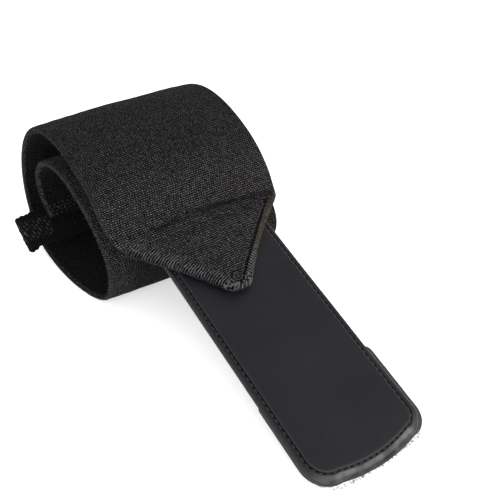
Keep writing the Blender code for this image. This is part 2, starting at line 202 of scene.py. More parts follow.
TAB_PROFILE = (
    (0.00040, -0.00200, 0.0, 0.3),
    (0.00008, -0.00175, 0.0, 0.1),
    (0.00000, -0.00130, 0.0, 0.0),
    (0.00004, -0.00080, 0.3, 0.0),
    (0.00022, -0.00040, 0.9, 0.0),
    (0.00050, -0.00016, 0.8, 0.0),
    (0.00085, -0.00004, 0.3, 0.0),
    (0.00125, 0.00000, 0.0, 0.0),
    (0.00170, -0.00003, 0.2, 0.0),
    (0.00192, -0.00012, 0.5, 0.0),
    (0.00204, -0.00030, 0.1, 0.6),
    (0.00212, -0.00070, 0.0, 1.0),
    (0.00228, -0.00080, 0.0, 1.0),
    (0.00262, -0.00080, 0.0, 1.0),
    (0.00278, -0.00070, 0.0, 1.0),
    (0.00286, -0.00020, 0.0, 0.7),
    (0.00294, 0.00020, 0.4, 0.1),
    (0.00310, 0.00040, 0.8, 0.0),
    (0.00340, 0.00049, 0.3, 0.0),
    (0.00400, 0.00050, 0.0, 0.0),
    (0.00700, 0.00050, 0.0, 0.0),
    (0.01100, 0.00050, 0.0, 0.0),
    (0.01500, 0.00050, 0.0, 0.0),
    (0.01900, 0.00050, 0.0, 0.0),
    (0.02400, 0.00050, 0.0, 0.0),
)
TAB_SIDE_STEPS = 60
CORNER_STEPS = 14
END_STEPS = 28
LEAST_RADIUS = 0.0004
END_BEVEL = 0.0015
END_BEVEL_WIDTH = 0.0015
END_BEVEL_INSET = 0.0019
END_BEVEL_FOOT = -0.0018
END_GROOVE_CLOSED = 0.0004
TAB_WAVINESS = 0.00012
TAB_WAVE_LENGTH = 0.045
TAPE_WAVINESS = 0.00006
TAPE_WAVE_LENGTH = 0.006
GROOVE_INSET = 0.00245
GROOVE_THREAD_DEPTH = 0.00052
HOOK_BASE = 0.0008
HOOK_BASE_PROFILE = (
    (0.0030, -HOOK_BASE),
    (0.0003, -HOOK_BASE),
    (0.0, -0.0006),
    (0.0, -0.0003),
    (0.0002, -0.00006),
    (0.0006, 0.0),
    (0.0030, 0.0),
)
HOOK_SIDE_STEPS = 24
HOOK_CORNER_STEPS = 4
HOOK_ARC_STEPS = 8
HOOK_PITCH = 0.0015
HOOK_MARGIN = 0.001
HOOK_JITTER = 0.0002
HOOK_BEND = 0.0003
HOOK_RADIUS = 0.00009
HOOK_EDGE_MARGIN = 0.0006
STRAY_COUNT = 380
STRAY_SPAN = 0.98
STRAY_RADIUS = 0.00007

# Stitches, thread ends and loose fibres

Stitch = namedtuple("Stitch", "pitch length radius lift")

TAB_STITCH = Stitch(0.0027, 0.0021, 0.00030, 0.0)
POINT_STITCH = Stitch(0.0026, 0.0021, 0.00020, -0.00050)
RING_STITCH = Stitch(0.0012, 0.0012, 0.00022, -0.00005)
TAIL_STITCH = Stitch(0.0022, 0.0017, 0.00022, -0.00010)
TAIL_SEAMS = ((0.0022, 0.0010), (0.0040, 0.0016), (0.0058, 0.0010))
TAIL_SEAM_END = 0.040
STITCH_SIDES = 6
STITCH_RINGS = 5
TUBE_SIDES = 3
THREAD_END_COUNT = 110
THREAD_END_RADIUS = 0.00009
FIBRE_COUNT = 2600
FIBRE_RADIUS = 0.000035

# The patterns in the band's material, in millimetres

RIB_MM = RIB_PITCH / MM
RIM_MM = RIM_WIDTH / MM
DASH_MM = 1.08
POINT_STRETCH = 0.88
ROW_WOBBLE = 0.60
DASH_STAGGER = 0.90
DASH_SWAY = 1.2
DASH_LEAN = 0.50
BREAK_SCALE = 1.35
STROKE_MM = 1.12
STROKE_LENGTH = 5.4
STROKE_RAGGED = 6.0
STROKE_SLANT = 0.40
STROKE_WOBBLE = 1.7
RIM_RIB_MM = 1.35
RIM_RIB_SLANT = 0.25
RIM_RIB_WOBBLE = 0.5
SEAM_MM = RIM_MM + 0.30
RING_MM = RING_RADIUS / MM + 0.45
EDGE_MM = 3.0
SEAM_DARKNESS = 0.90
RING_DARKNESS = 0.85
# Strengths of the painted shade on the band: in the base crease, below it, on the front wall under the point
# and on the roll's crown
CREASE_SHADE = 0.62
BELOW_CREASE_SHADE = 0.28
FRONT_WALL_SHADE = 0.55
CROWN_SHADE = 0.34
# Strength of the painted light that makes the front wall's right strip warmer
PAINTED_WARMTH = 0.9

# Colours: the dark one and the light one that a pattern mixes

YARN = (0.0002, 0.0002, 0.0002), (0.0960, 0.0900, 0.0936)
# A warmer, lighter copy of the yarn, for painted light from the lamp on the right
WARM_LIT_YARN = (0.0008, 0.0006, 0.0005), (0.0760, 0.0635, 0.0500)
# The yarn's colour in painted shade
SHADED_YARN = (0.0004, 0.0004, 0.0004)
LINING = (0.0001, 0.0001, 0.0001), (0.0210, 0.0206, 0.0212)
COOL_LINING = (0.0030, 0.0030, 0.0052)
RUBBER = (0.0062, 0.0059, 0.0081), (0.0080, 0.0076, 0.0103)
# The rubber in painted shadow
RUBBER_SHADOW = (0.0010, 0.0010, 0.0011)
RUBBER_WORN = (0.040, 0.039, 0.041)
# The bevel's colours: rubbed rubber, lighter and mottled as a painted highlight of the lamp on the right
RUBBED_BEVEL_AND_HIGHLIGHT = (0.005, 0.005, 0.0055), (0.041, 0.0375, 0.0385)
KNIT = (0.0016, 0.0016, 0.0016), (0.050, 0.049, 0.048)
TAPE = (0.010, 0.010, 0.011), (0.030, 0.030, 0.031)
HOOK = (0.10, 0.10, 0.10), (0.45, 0.44, 0.44)
FIBRE = (0.020, 0.019, 0.020), (0.075, 0.070, 0.070)
THREAD = (0.004, 0.004, 0.004), (0.022, 0.021, 0.021)
PALE_THREAD = (0.025, 0.024, 0.023), (0.11, 0.106, 0.102)
FLOOR = (0.92, 0.92, 0.92), (0.94, 0.94, 0.94)
WHITE = (1.0, 1.0, 1.0)
WARM_LIGHT = (1.0, 0.985, 0.965)

# Camera and light

FOCAL_LENGTH_IN_WIDTHS = 1.4
SENSOR_WIDTH = 36.0
CAMERA_PLACE = (0.203814, -0.113317, 0.2142)
CAMERA_TILT = 52.6
CAMERA_TURN = 55.05
FLOOR_HALF = 6.0
FLOOR_GLOW = 0.46
FLOOR_DROP = -0.00005
SKY = 0.88


# Small helpers


def smooth_curve(knots, values, samples):
    """Values at the samples, on a natural cubic spline through the values at the knots."""
    count = len(knots)
    gaps = np.diff(knots)
    system = np.eye(count)
    bends = np.zeros_like(values)
    for i in range(1, count - 1):
        system[i, i - 1:i + 2] = gaps[i - 1], 2 * (gaps[i - 1] + gaps[i]), gaps[i]
        rise_after = (values[i + 1] - values[i]) / gaps[i]
        rise_before = (values[i] - values[i - 1]) / gaps[i - 1]
        bends[i] = 6 * (rise_after - rise_before)
    bends = np.linalg.solve(system, bends)
    k = np.clip(np.searchsorted(knots, samples) - 1, 0, count - 2)
    width = gaps[k][:, None]
    left = (samples - knots[k])[:, None]
    right = (knots[k + 1] - samples)[:, None]
    curved = (bends[k] * right ** 3 + bends[k + 1] * left ** 3) / (6 * width)
    start = (values[k] / width - bends[k] * width / 6) * right
    end = (values[k + 1] / width - bends[k + 1] * width / 6) * left
    return curved + start + end


def smoothstep(low, high, value):
    share = np.clip((value - low) / (high - low), 0.0, 1.0)
    return share * share * (3.0 - 2.0 * share)


def unit(vector):
    return vector / np.linalg.norm(vector)


def arc(centre, radius, first, turn, steps):
    """Places on a round corner, from its first angle in degrees through its turn."""
    angles = np.radians(first + turn * np.arange(steps + 1) / steps)
    return np.column_stack((centre[0] + radius * np.cos(angles), centre[1] + radius * np.sin(angles)))


def waves(a, b, length, seed):
    """A slow unevenness between -1 and 1 over two coordinates, from a few crossed waves."""
    dice = random.Random(seed)
    total = np.zeros(np.broadcast(a, b).shape)
    for _ in range(5):
        turn = dice.uniform(0, math.pi)
        size = length * dice.uniform(0.7, 1.5)
        phase = dice.uniform(0, 2 * math.pi)
        total += np.sin((a * math.cos(turn) + b * math.sin(turn)) * 2 * math.pi / size + phase)
    return total / 3.0


def ring_faces(count, size, turned=False):
    """Quads between closed rings of points, then both end rings; turned, they face the other way."""
    start = np.arange(count - 1)[:, None] * size
    here = np.arange(size)[None, :]
    ahead = (here + 1) % size
    corners = [start + here, start + ahead, start + size + ahead, start + size + here]
    first, last = list(range(size)), list(range((count - 1) * size, count * size))
    if turned:
        corners = [corners[n] for n in (0, 3, 2, 1)]
        last.reverse()
    else:
        first.reverse()
    return np.stack(corners, axis=2).reshape(-1, 4).tolist() + [first, last]


def ring_uvs(along, around, ring_mm):
    """Millimetres along and around a strip, for each corner of its turned ring_faces."""
    ahead = np.concatenate((around[:, 1:], np.full((len(around), 1), ring_mm[-1])), axis=1)
    u = along[:, None] + 0.0 * around
    corners = ((u[:-1], around[:-1]), (u[1:], around[1:]), (u[1:], ahead[1:]), (u[:-1], ahead[:-1]))
    quads = np.stack([np.stack(corner, axis=2) for corner in corners], axis=2).reshape(-1, 2)
    size = around.shape[1]
    first = np.column_stack((np.full(size, along[0]), ring_mm[:-1]))
    last = np.column_stack((np.full(size, along[-1]), ring_mm[-2::-1]))
    return np.concatenate((quads, first, last))


def make_object(name, points, faces, materials, slots=None, uvs=None, attributes=None):
    """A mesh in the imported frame, from points in the wrap's own axes."""
    mesh = bpy.data.meshes.new(name)
    mesh.from_pydata((np.asarray(points) + HOME).tolist(), [], faces)
    if slots is not None:
        mesh.polygons.foreach_set("material_index", slots)
    if uvs is not None:
        layer = mesh.uv_layers.new(name="cloth_mm")
        layer.data.foreach_set("uv", np.asarray(uvs, np.float32).ravel())
    for key, values in (attributes or {}).items():
        layer = mesh.attributes.new(key, "FLOAT", "POINT")
        layer.data.foreach_set("value", np.asarray(values, np.float32).reshape(-1))
    mesh.polygons.foreach_set("use_smooth", [True] * len(mesh.polygons))
    for material in materials:
        mesh.materials.append(material)
    mesh.update()
    return link(bpy.data.objects.new(name, mesh))


def link(item):
    bpy.context.scene.collection.objects.link(item)
    return item


# Materials


class Value:
    """A number, place or colour that a material works out, for use in sums."""

    def __init__(self, shade, socket):
        self.shade = shade
        self.socket = socket

    def __add__(self, other):
        return self.shade.sum("ADD", self, other)

    def __sub__(self, other):
        return self.shade.sum("SUBTRACT", self, other)

    def __rsub__(self, other):
        return self.shade.sum("SUBTRACT", other, self)

    def __mul__(self, other):
        return self.shade.sum("MULTIPLY", self, other)

    def __truediv__(self, other):
        return self.shade.sum("DIVIDE", self, other)

    def size(self):
        return self.shade.sum("ABSOLUTE", self)

    def ripple(self):
        """Up from 0 to 1 and down again within each whole step."""
        return self.shade.sum("SINE", self * math.pi).size()

    def spread(self, low, high, to_low=0.0, to_high=1.0):
        return self.shade.node("MapRange", (self, low, high, to_low, to_high))


class Shade:
    """One material and its nodes, with short calls for the sums that its patterns need."""

    def __init__(self, name, roughness, sheen=0.0, sheen_roughness=0.5, specular=0.5):
        self.material = bpy.data.materials.new(name)
        self.material.use_nodes = True
        self.tree = self.material.node_tree
        self.shader = self.tree.nodes["Principled BSDF"]
        self.set("Roughness", roughness)
        self.set("Sheen Weight", sheen)
        self.set("Sheen Roughness", sheen_roughness)
        self.set("Specular IOR Level", specular)

    def put(self, socket, value):
        if isinstance(value, Value):
            self.tree.links.new(value.socket, socket)
        elif isinstance(value, tuple):
            socket.default_value = (*value, 1.0)
        elif value is not None:
            socket.default_value = value

    def set(self, name, value):
        self.put(self.shader.inputs[name], value)

    def node(self, kind, inputs=(), output=0, **settings):
        """One output of a new node, from its settings and its inputs in order or by name."""
        node = self.tree.nodes.new("ShaderNode" + kind)
        for key, setting in settings.items():
            setattr(node, key, setting)
        for key, value in inputs.items() if isinstance(inputs, dict) else enumerate(inputs):
            self.put(node.inputs[key], value)
        return Value(self, node.outputs[output])

    def sum(self, operation, *values):
        return self.node("Math", values, operation=operation)

    def uv(self):
        where = self.node("UVMap", uv_map="cloth_mm")
        return self.node("SeparateXYZ", (where,), 0), self.node("SeparateXYZ", (where,), 1)

    def place(self):
        return self.node("TexCoord", output="Object")

    def attribute(self, name):
        return self.node("Attribute", output="Fac", attribute_name=name)

    def noise(self, where, scale, detail=2.0, roughness=0.5):
        inputs = {"Vector": where, "Scale": scale, "Detail": detail, "Roughness": roughness}
        return self.node("TexNoise", inputs, "Fac")

    def combine(self, x, y):
        return self.node("CombineXYZ", (x, y))

    def chance(self, where):
        """A random number for each place, the same each time."""
        return self.node("TexWhiteNoise", {"Vector": where}, "Value", noise_dimensions="3D")

    def blend(self, share, first, second):
        return self.node("Mix", (share, None, first, second))

    def mix(self, share, first, second):
        return self.node("Mix", {"Factor": share, "A": first, "B": second}, "Result", data_type="RGBA")

    def bump(self, height, distance, strength=1.0):
        return self.node("Bump", {"Strength": strength, "Distance": distance, "Height": height})

    def finish(self, colour, roughness=None, normal=None):
        self.set("Base Color", colour)
        self.set("Roughness", roughness)
        self.set("Normal", normal)
        return self.material


def woven_rows(shade, along, across):
    """Woven rows stacked along the band, each broken into dashes: their mask and their brightness."""
    where = shade.combine(along, across)
    row = (shade.noise(where, 0.30, 3.0, 0.6) * ROW_WOBBLE + along) / RIB_MM
    number, inside = shade.sum("FLOOR", row), shade.sum("FRACT", row)
    stagger = shade.chance(number) * DASH_STAGGER + shade.sum("PINGPONG", number, 1.0) * 0.5
    sway = shade.noise(where, 0.80, 2.0, 0.6) * DASH_SWAY
    lean = inside * DASH_LEAN + (stagger + (sway + across) / DASH_MM)
    mask = inside.ripple().spread(0.28, 0.95) * lean.ripple().spread(0.38, 0.90)
    return mask, shade.chance(shade.combine(number, shade.sum("FLOOR", lean)))


def ribbed_elastic():
    """The band's outer face: staggered dashes of yarn over dark gaps.

    The point's folded left side has long slanted strokes, and its right side a ribbed rim.
    Painted shade darkens the base crease, the slope below it, the front wall under the point
    and the roll's crown, and painted light makes the right rim and the front wall's right strip
    warmer and lighter.
    """
    shade = Shade("ribbed_elastic", 0.92, specular=0.06)
    along, across = shade.uv()
    where = shade.combine(along, across)
    from_left, from_right = shade.attribute("from_left"), shade.attribute("from_right")
    run_right = shade.attribute("run_right")
    on_point = along.spread(-0.5, 2.0, 1.0, 0.0)
    broken = shade.noise(where, BREAK_SCALE, 3.0, 0.7)

    mask, tone = woven_rows(shade, shade.sum("MAXIMUM", along, along * POINT_STRETCH), across)
    mask = mask * broken.spread(0.36, 0.50, 0.12, 1.0)
    edge_rib = (along / RIB_MM).ripple().spread(0.55, 0.92, 0.0, 0.62) * broken.spread(0.34, 0.50, 0.3, 1.0)
    mask = shade.blend(across.spread(0.5, 1.3, 1.0, 0.0), mask, edge_rib)

    # The strokes of the left fold, with ragged ends, darkened towards the fold's edge as painted shade
    ragged = shade.noise(shade.combine(along * 0.9, 0.0), 0.8, 0.0, 0.0)
    stroke_end = ragged * STROKE_RAGGED + (STROKE_LENGTH - STROKE_RAGGED / 2)
    stroke_here = (from_left - stroke_end).spread(-0.9, 0.6, 1.0, 0.0) * on_point
    slanted = shade.noise(where, 0.45, 3.0, 0.6) * STROKE_WOBBLE + (across * -STROKE_SLANT + along)
    stroke = (slanted / STROKE_MM).ripple().spread(0.55, 0.95, 0.0, 0.80)
    stroke = stroke * broken.spread(0.34, 0.52, 0.45, 1.0) * from_left.spread(0.0, 1.6, 0.30, 1.0)
    mask = shade.blend(stroke_here, mask, stroke)

    # The ribbed rim on the right, and a knotted patch at the tip
    rim_run = (from_right * RIM_RIB_SLANT + run_right) / RIM_RIB_MM
    rim_rib = (shade.noise(where, 0.5, 2.0, 0.5) * RIM_RIB_WOBBLE + rim_run).ripple().spread(0.45, 0.90)
    rim_here = from_right.spread(RIM_MM - 0.4, RIM_MM, 1.0, 0.0) * on_point
    mask = shade.blend(rim_here, mask, rim_rib)
    knots = shade.noise(where, 0.95, 2.0, 0.5).spread(0.44, 0.56)
    mask = shade.blend(along.spread(-31.2, -29.6, 1.0, 0.0), mask, knots)

    # The dark seam inside the rim, and the dark line round the sewn ring
    seam = (from_right - SEAM_MM).size().spread(0.20, 0.65, 1.0, 0.0) * on_point
    ring_run, ring_side = along - RING_AT[0] / MM, across - RING_AT[1] / MM
    ring_far = shade.sum("SQRT", ring_run * ring_run + ring_side * ring_side)
    ring = (ring_far - RING_MM).size().spread(0.30, 0.70, 1.0, 0.0)
    mask = mask * (1.0 - shade.sum("MAXIMUM", seam * SEAM_DARKNESS, ring * RING_DARKNESS))

    grain = shade.noise(where, 2.4, 3.0, 0.7)
    bright = mask * tone.spread(0.0, 1.0, 0.52, 1.25) * grain.spread(0.32, 0.68, 0.60, 1.40)
    bright = bright * shade.noise(where, 0.50, 3.0, 0.6).spread(0.35, 0.65, 0.86, 1.12)
    bright = bright * shade.noise(where, 0.07, 2.0, 0.5).spread(0.3, 0.7, 0.92, 1.06)
    # Painted light: the right rim and the front wall's right strip are tinted warmer and lighter, as if lit by
    # the lamp on the right
    painted_light_tint = rim_here * run_right.spread(30.0, 36.0, 1.0, 0.0) * run_right.spread(-3.0, 1.0)
    painted_light_tint = shade.sum("MAXIMUM", painted_light_tint, shade.attribute("painted_warm_light") * PAINTED_WARMTH)
    yarn = shade.mix(painted_light_tint, shade.mix(bright, *YARN), shade.mix(bright, *WARM_LIT_YARN))
    # Painted shade: the yarn is darkened by the shaded mark, in and below the base crease, on the front wall
    # under the point and on the roll's crown
    yarn = shade.mix(1.0 - shade.attribute("shaded"), SHADED_YARN, yarn)
    relief = grain * 0.30 + mask * stroke_here.spread(0.0, 1.0, 1.0, 0.45)
    return shade.finish(yarn, None, shade.bump(relief, 0.00030, 0.8))


def lining_pile():
    """The band's inner face: finer, very dark and a little furry."""
    shade = Shade("lining_pile", 0.95, sheen=0.01, sheen_roughness=0.6, specular=0.05)
    along, across = shade.uv()
    where = shade.combine(along, across)
    lines = shade.sum("SINE", along * (2 * math.pi / RIB_MM))
    height = lines * 0.10 + shade.noise(where, 1.0, 3.0, 0.8)
    cool = shade.noise(where, 0.10, 2.0, 0.5).spread(0.45, 0.70, 0.0, 0.45)
    yarn = shade.mix(cool, shade.mix(height.spread(0.49, 0.66), *LINING), COOL_LINING)
    return shade.finish(yarn, None, shade.bump(height, 0.0005))


def moulded_rubber():
    """Matt rubber: fine grain, faint smudges, and a smoother, rubbed bevel and edges, with painted shadow in
    the stitch groove and under the edge, and the bevel lighter as a painted highlight.
    """
    shade = Shade("moulded_rubber", 0.45, specular=0.22)
    where = shade.place()
    smudge = shade.noise(where, 55.0, 3.0, 0.55)
    speck = shade.noise(where, 900.0, 2.0, 0.6).spread(0.35, 0.65, 0.55, 1.0)
    rubbed = shade.noise(where, 130.0, 2.0, 0.5).spread(0.40, 0.62)
    bevel = shade.attribute("bevel")
    colour = shade.mix(smudge.spread(0.35, 0.65), *RUBBER)
    # Painted shadow: darker in the stitch groove and under the tab's edge, by the depth mark
    colour = shade.mix(shade.attribute("depth") * 0.9, colour, RUBBER_SHADOW)
    colour = shade.mix(shade.attribute("wear") * speck * 0.55, colour, RUBBER_WORN)
    # The bevel: partly rubbed rubber, partly a painted highlight of the lamp on the right, mottled
    colour = shade.mix(bevel, colour, shade.mix(rubbed, *RUBBED_BEVEL_AND_HIGHLIGHT))
    shade.set("Specular IOR Level", bevel * rubbed * 0.16 + 0.18)
    roughness = bevel * -0.12 + smudge.spread(0.30, 0.70, 0.43, 0.49)
    grain = shade.noise(where, 3800.0, 2.0, 0.5)
    return shade.finish(colour, roughness, shade.bump(grain, 0.00002, 0.5))


def knit_webbing():
    """Coarse knit of the thumb loop: crowns of yarn over dark holes."""
    shade = Shade("knit_webbing", 0.90, sheen=0.01, specular=0.10)
    fine = shade.noise(shade.combine(*shade.uv()), 3.0, 4.0, 0.7)
    bright = shade.attribute("crown") * fine.spread(0.35, 0.65, 0.45, 1.20)
    yarn = shade.mix(bright.spread(0.30, 0.95), *KNIT)
    return shade.finish(yarn, None, shade.bump(fine, 0.00020))


def flecked(name, colours, scale, roughness, detail=2.0, sheen=0.0, specular=0.5, relief=None):
    """A plain material flecked in two tones, with a fine relief where its depth is given."""
    shade = Shade(name, roughness, sheen=sheen, specular=specular)
    fleck = shade.noise(shade.place(), scale, detail, 0.6)
    colour = shade.mix(fleck.spread(0.35, 0.65), *colours)
    return shade.finish(colour, None, relief and shade.bump(fleck, relief))


def pale_floor():
    shade = Shade("pale_floor", 0.55, specular=0.25)
    shade.set("Emission Color", WHITE)
    shade.set("Emission Strength", FLOOR_GLOW)
    return shade.finish(shade.mix(shade.noise(shade.place(), 4.0, 2.0, 0.5), *FLOOR))


# The band


def plank_frame():
    base = BAND_ROUTE[0]
    x, z = base.along * ROLL_DEPTH, base.height * ROLL_HEIGHT
    depth = FOLD_THICKNESS + TAB_PANEL_RISE + TAB_THICKNESS + HOOK_THICKNESS + 2 * CLEARANCE
    reach = POINT_LENGTH - TAB_TUCK + TAB_LENGTH
    slope = math.asin(z / math.hypot(reach, depth)) - math.atan2(depth, reach)
    return x, z, slope


def point_corners():
    """Where the point's sides start at its base, left and right, and where they end at its tip."""
    slid = BAND_ROUTE[0].shift * BAND_WIDTH
    tip_left = POINT_CENTRE * BAND_WIDTH - POINT_TIP_WIDTH / 2
    base_left = slid + POINT_LEFT_SHOULDER
    base_right = slid + BAND_WIDTH - POINT_RIGHT_SHOULDER
    return base_left, base_right, tip_left, tip_left + POINT_TIP_WIDTH


def corner_cut(radius, from_tip):
    """How far a round corner brings the side in, this far from the tip."""
    near = np.clip(radius - from_tip, 0.0, radius)
    return radius - np.sqrt(radius ** 2 - near ** 2)


def dense_route():
    """The route from the point's tip to the tail: travel, x, z, left and right edge, skew, slide."""
    rows = np.array([(fold.along, fold.height, fold.shift, fold.skew) for fold in BAND_ROUTE])
    rows = rows * (ROLL_DEPTH, ROLL_HEIGHT, BAND_WIDTH, BAND_WIDTH)
    spans = np.linalg.norm(np.diff(rows[:, :2], axis=0), axis=1)
    knots = np.concatenate(([0.0], np.cumsum(spans)))
    line = smooth_curve(knots, rows, np.linspace(0.0, knots[-1], ROUTE_SAMPLES))
    line[:, 1] = np.maximum(line[:, 1], 0.0)
    travel = np.concatenate(([0.0], np.cumsum(np.linalg.norm(np.diff(line[:, :2], axis=0), axis=1))))

    x, z, slope = plank_frame()
    run = np.linspace(POINT_LENGTH, 0.0, POINT_SAMPLES, endpoint=False)
    point = np.stack((x + run * math.cos(slope), z - run * math.sin(slope)), axis=1)
    share = run / POINT_LENGTH
    base_left, base_right, tip_left, tip_right = point_corners()
    bow = np.sin(math.pi * share)
    left = base_left + share * (tip_left - base_left) + POINT_LEFT_BOW * bow
    right = base_right + share * (tip_right - base_right) - POINT_RIGHT_BOW * bow
    left += corner_cut(POINT_LEFT_CORNER, POINT_LENGTH - run)
    right -= corner_cut(POINT_RIGHT_CORNER, POINT_LENGTH - run)

    route = np.concatenate((-run, travel))
    x = np.concatenate((point[:, 0], line[:, 0]))
    z = np.concatenate((point[:, 1], line[:, 1]))
    shoulder = np.maximum(0.0, 1.0 - travel / POINT_SHOULDER_RUN) ** 2
    left = np.concatenate((left, line[:, 2] + POINT_LEFT_SHOULDER * shoulder))
    right = np.concatenate((right, line[:, 2] + BAND_WIDTH - POINT_RIGHT_SHOULDER * shoulder))
    slid = np.concatenate((np.full(len(run), BAND_ROUTE[0].shift * BAND_WIDTH), line[:, 2]))
    skew = np.concatenate((np.zeros(len(run)), line[:, 3]))
    return route, x, z, left, right, skew, slid


def band_rows():
    """Rows a third of a rib apart, with their places, edges, inward directions and thickness."""
    travel, x, z, left, right, skew, slid = dense_route()
    step = RIB_PITCH / ROWS_PER_RIB
    places = np.arange(travel[0], travel[-1], step)
    tip = travel[0] + np.array(TIP_ROWS)
    places = np.concatenate((tip, places[places > tip[-1] + step / 2], [travel[-1]]))
    rows = {"s": places}
    columns = {"x": x, "z": z, "left": left, "right": right, "skew": skew, "slid": slid}
    for key, values in columns.items():
        rows[key] = np.interp(places, travel, values)
    kernel = np.ones(BASE_SMOOTHING_ROWS) / BASE_SMOOTHING_ROWS
    at_base = np.exp(-(places / BASE_SMOOTHING_REACH) ** 2)
    for key in ("x", "z"):
        padded = np.pad(rows[key], BASE_SMOOTHING_ROWS // 2, mode="edge")
        rounded = np.convolve(padded, kernel, mode="valid")
        rows[key] = rows[key] * (1 - at_base) + rounded * at_base
    dx, dz = np.gradient(rows["x"], places), np.gradient(rows["z"], places)
    length = np.hypot(dx, dz)
    length[length == 0] = 1.0
    rows["nx"], rows["nz"] = -dz / length, dx / length
    single = BAND_THICKNESS / FOLD_THICKNESS
    thinner = np.maximum(single, 1.0 - (1.0 - single) * places / FOLD_RAMP)
    rows["thick"] = FOLD_THICKNESS * np.where(places < 0, 1.0, thinner)
    return rows


def edge_factor(distance, reach):
    """Share of the full thickness at a distance from a soft edge."""
    inside = np.clip(1.0 - distance / reach, 0.0, 1.0)
    return (1.0 - inside ** EDGE_ROUNDNESS) ** (1 / EDGE_ROUNDNESS)


def side_marks(ahead, y):
    """Millimetres in from each side of the point, and along its right side, for each place."""
    base_left, base_right, tip_left, tip_right = point_corners()
    left = unit(np.array((POINT_LENGTH, tip_left - base_left)))
    right = unit(np.array((POINT_LENGTH, tip_right - base_right)))
    return {
        "from_left": (left[0] * (y - base_left) - left[1] * ahead) / MM,
        "from_right": (right[1] * ahead - right[0] * (y - base_right)) / MM,
        "run_right": (ahead * right[0] + (y - base_right) * right[1]) / MM,
    }


def rim_relief(s, border, strong):
    """The swollen rim round the point, strong on its right side and tip, and the groove inside it."""
    fall = 1 - smoothstep(RIM_WIDTH - RIM_SWELL_RUN, RIM_WIDTH, border)
    swell = smoothstep(0.0, RIM_SWELL_RUN, border) * fall
    groove = np.exp(-((border - RIM_WIDTH) / RIM_GROOVE_HALF_WIDTH) ** 2)
    on_point = 1.0 - smoothstep(-0.002, 0.006, s)
    rise = RIM_SWELL * (0.10 + 0.90 * strong) * swell
    return on_point * (rise - RIM_GROOVE * (0.05 + 0.95 * strong) * groove)


def base_crease(s, cloth_y, from_left, from_right):
    """The crease at the point's base and the slope below it, each from 0 to 1: the crease also dents the cloth,
    and both are darkened as painted shade.
    """
    across, behind_base = zip(*BASE_CREASE_LINE)
    sway = CREASE_SWAY * waves(cloth_y, 0.0 * cloth_y, 0.012, 17)
    behind = s - (np.interp(cloth_y, across, behind_base) + sway)
    crease = np.exp(-(behind / np.where(behind > 0, CREASE_ABOVE, CREASE_BELOW)) ** 2)
    crease = crease * smoothstep(0.002, 0.011, from_left) * smoothstep(0.0, 0.006, from_right)
    crease = crease * (0.75 + 0.25 * waves(cloth_y, s, 0.014, 31))
    below = smoothstep(0.0, -0.0010, behind) * smoothstep(-0.012, -0.002, behind)
    return crease, below * smoothstep(0.015, 0.055, cloth_y)


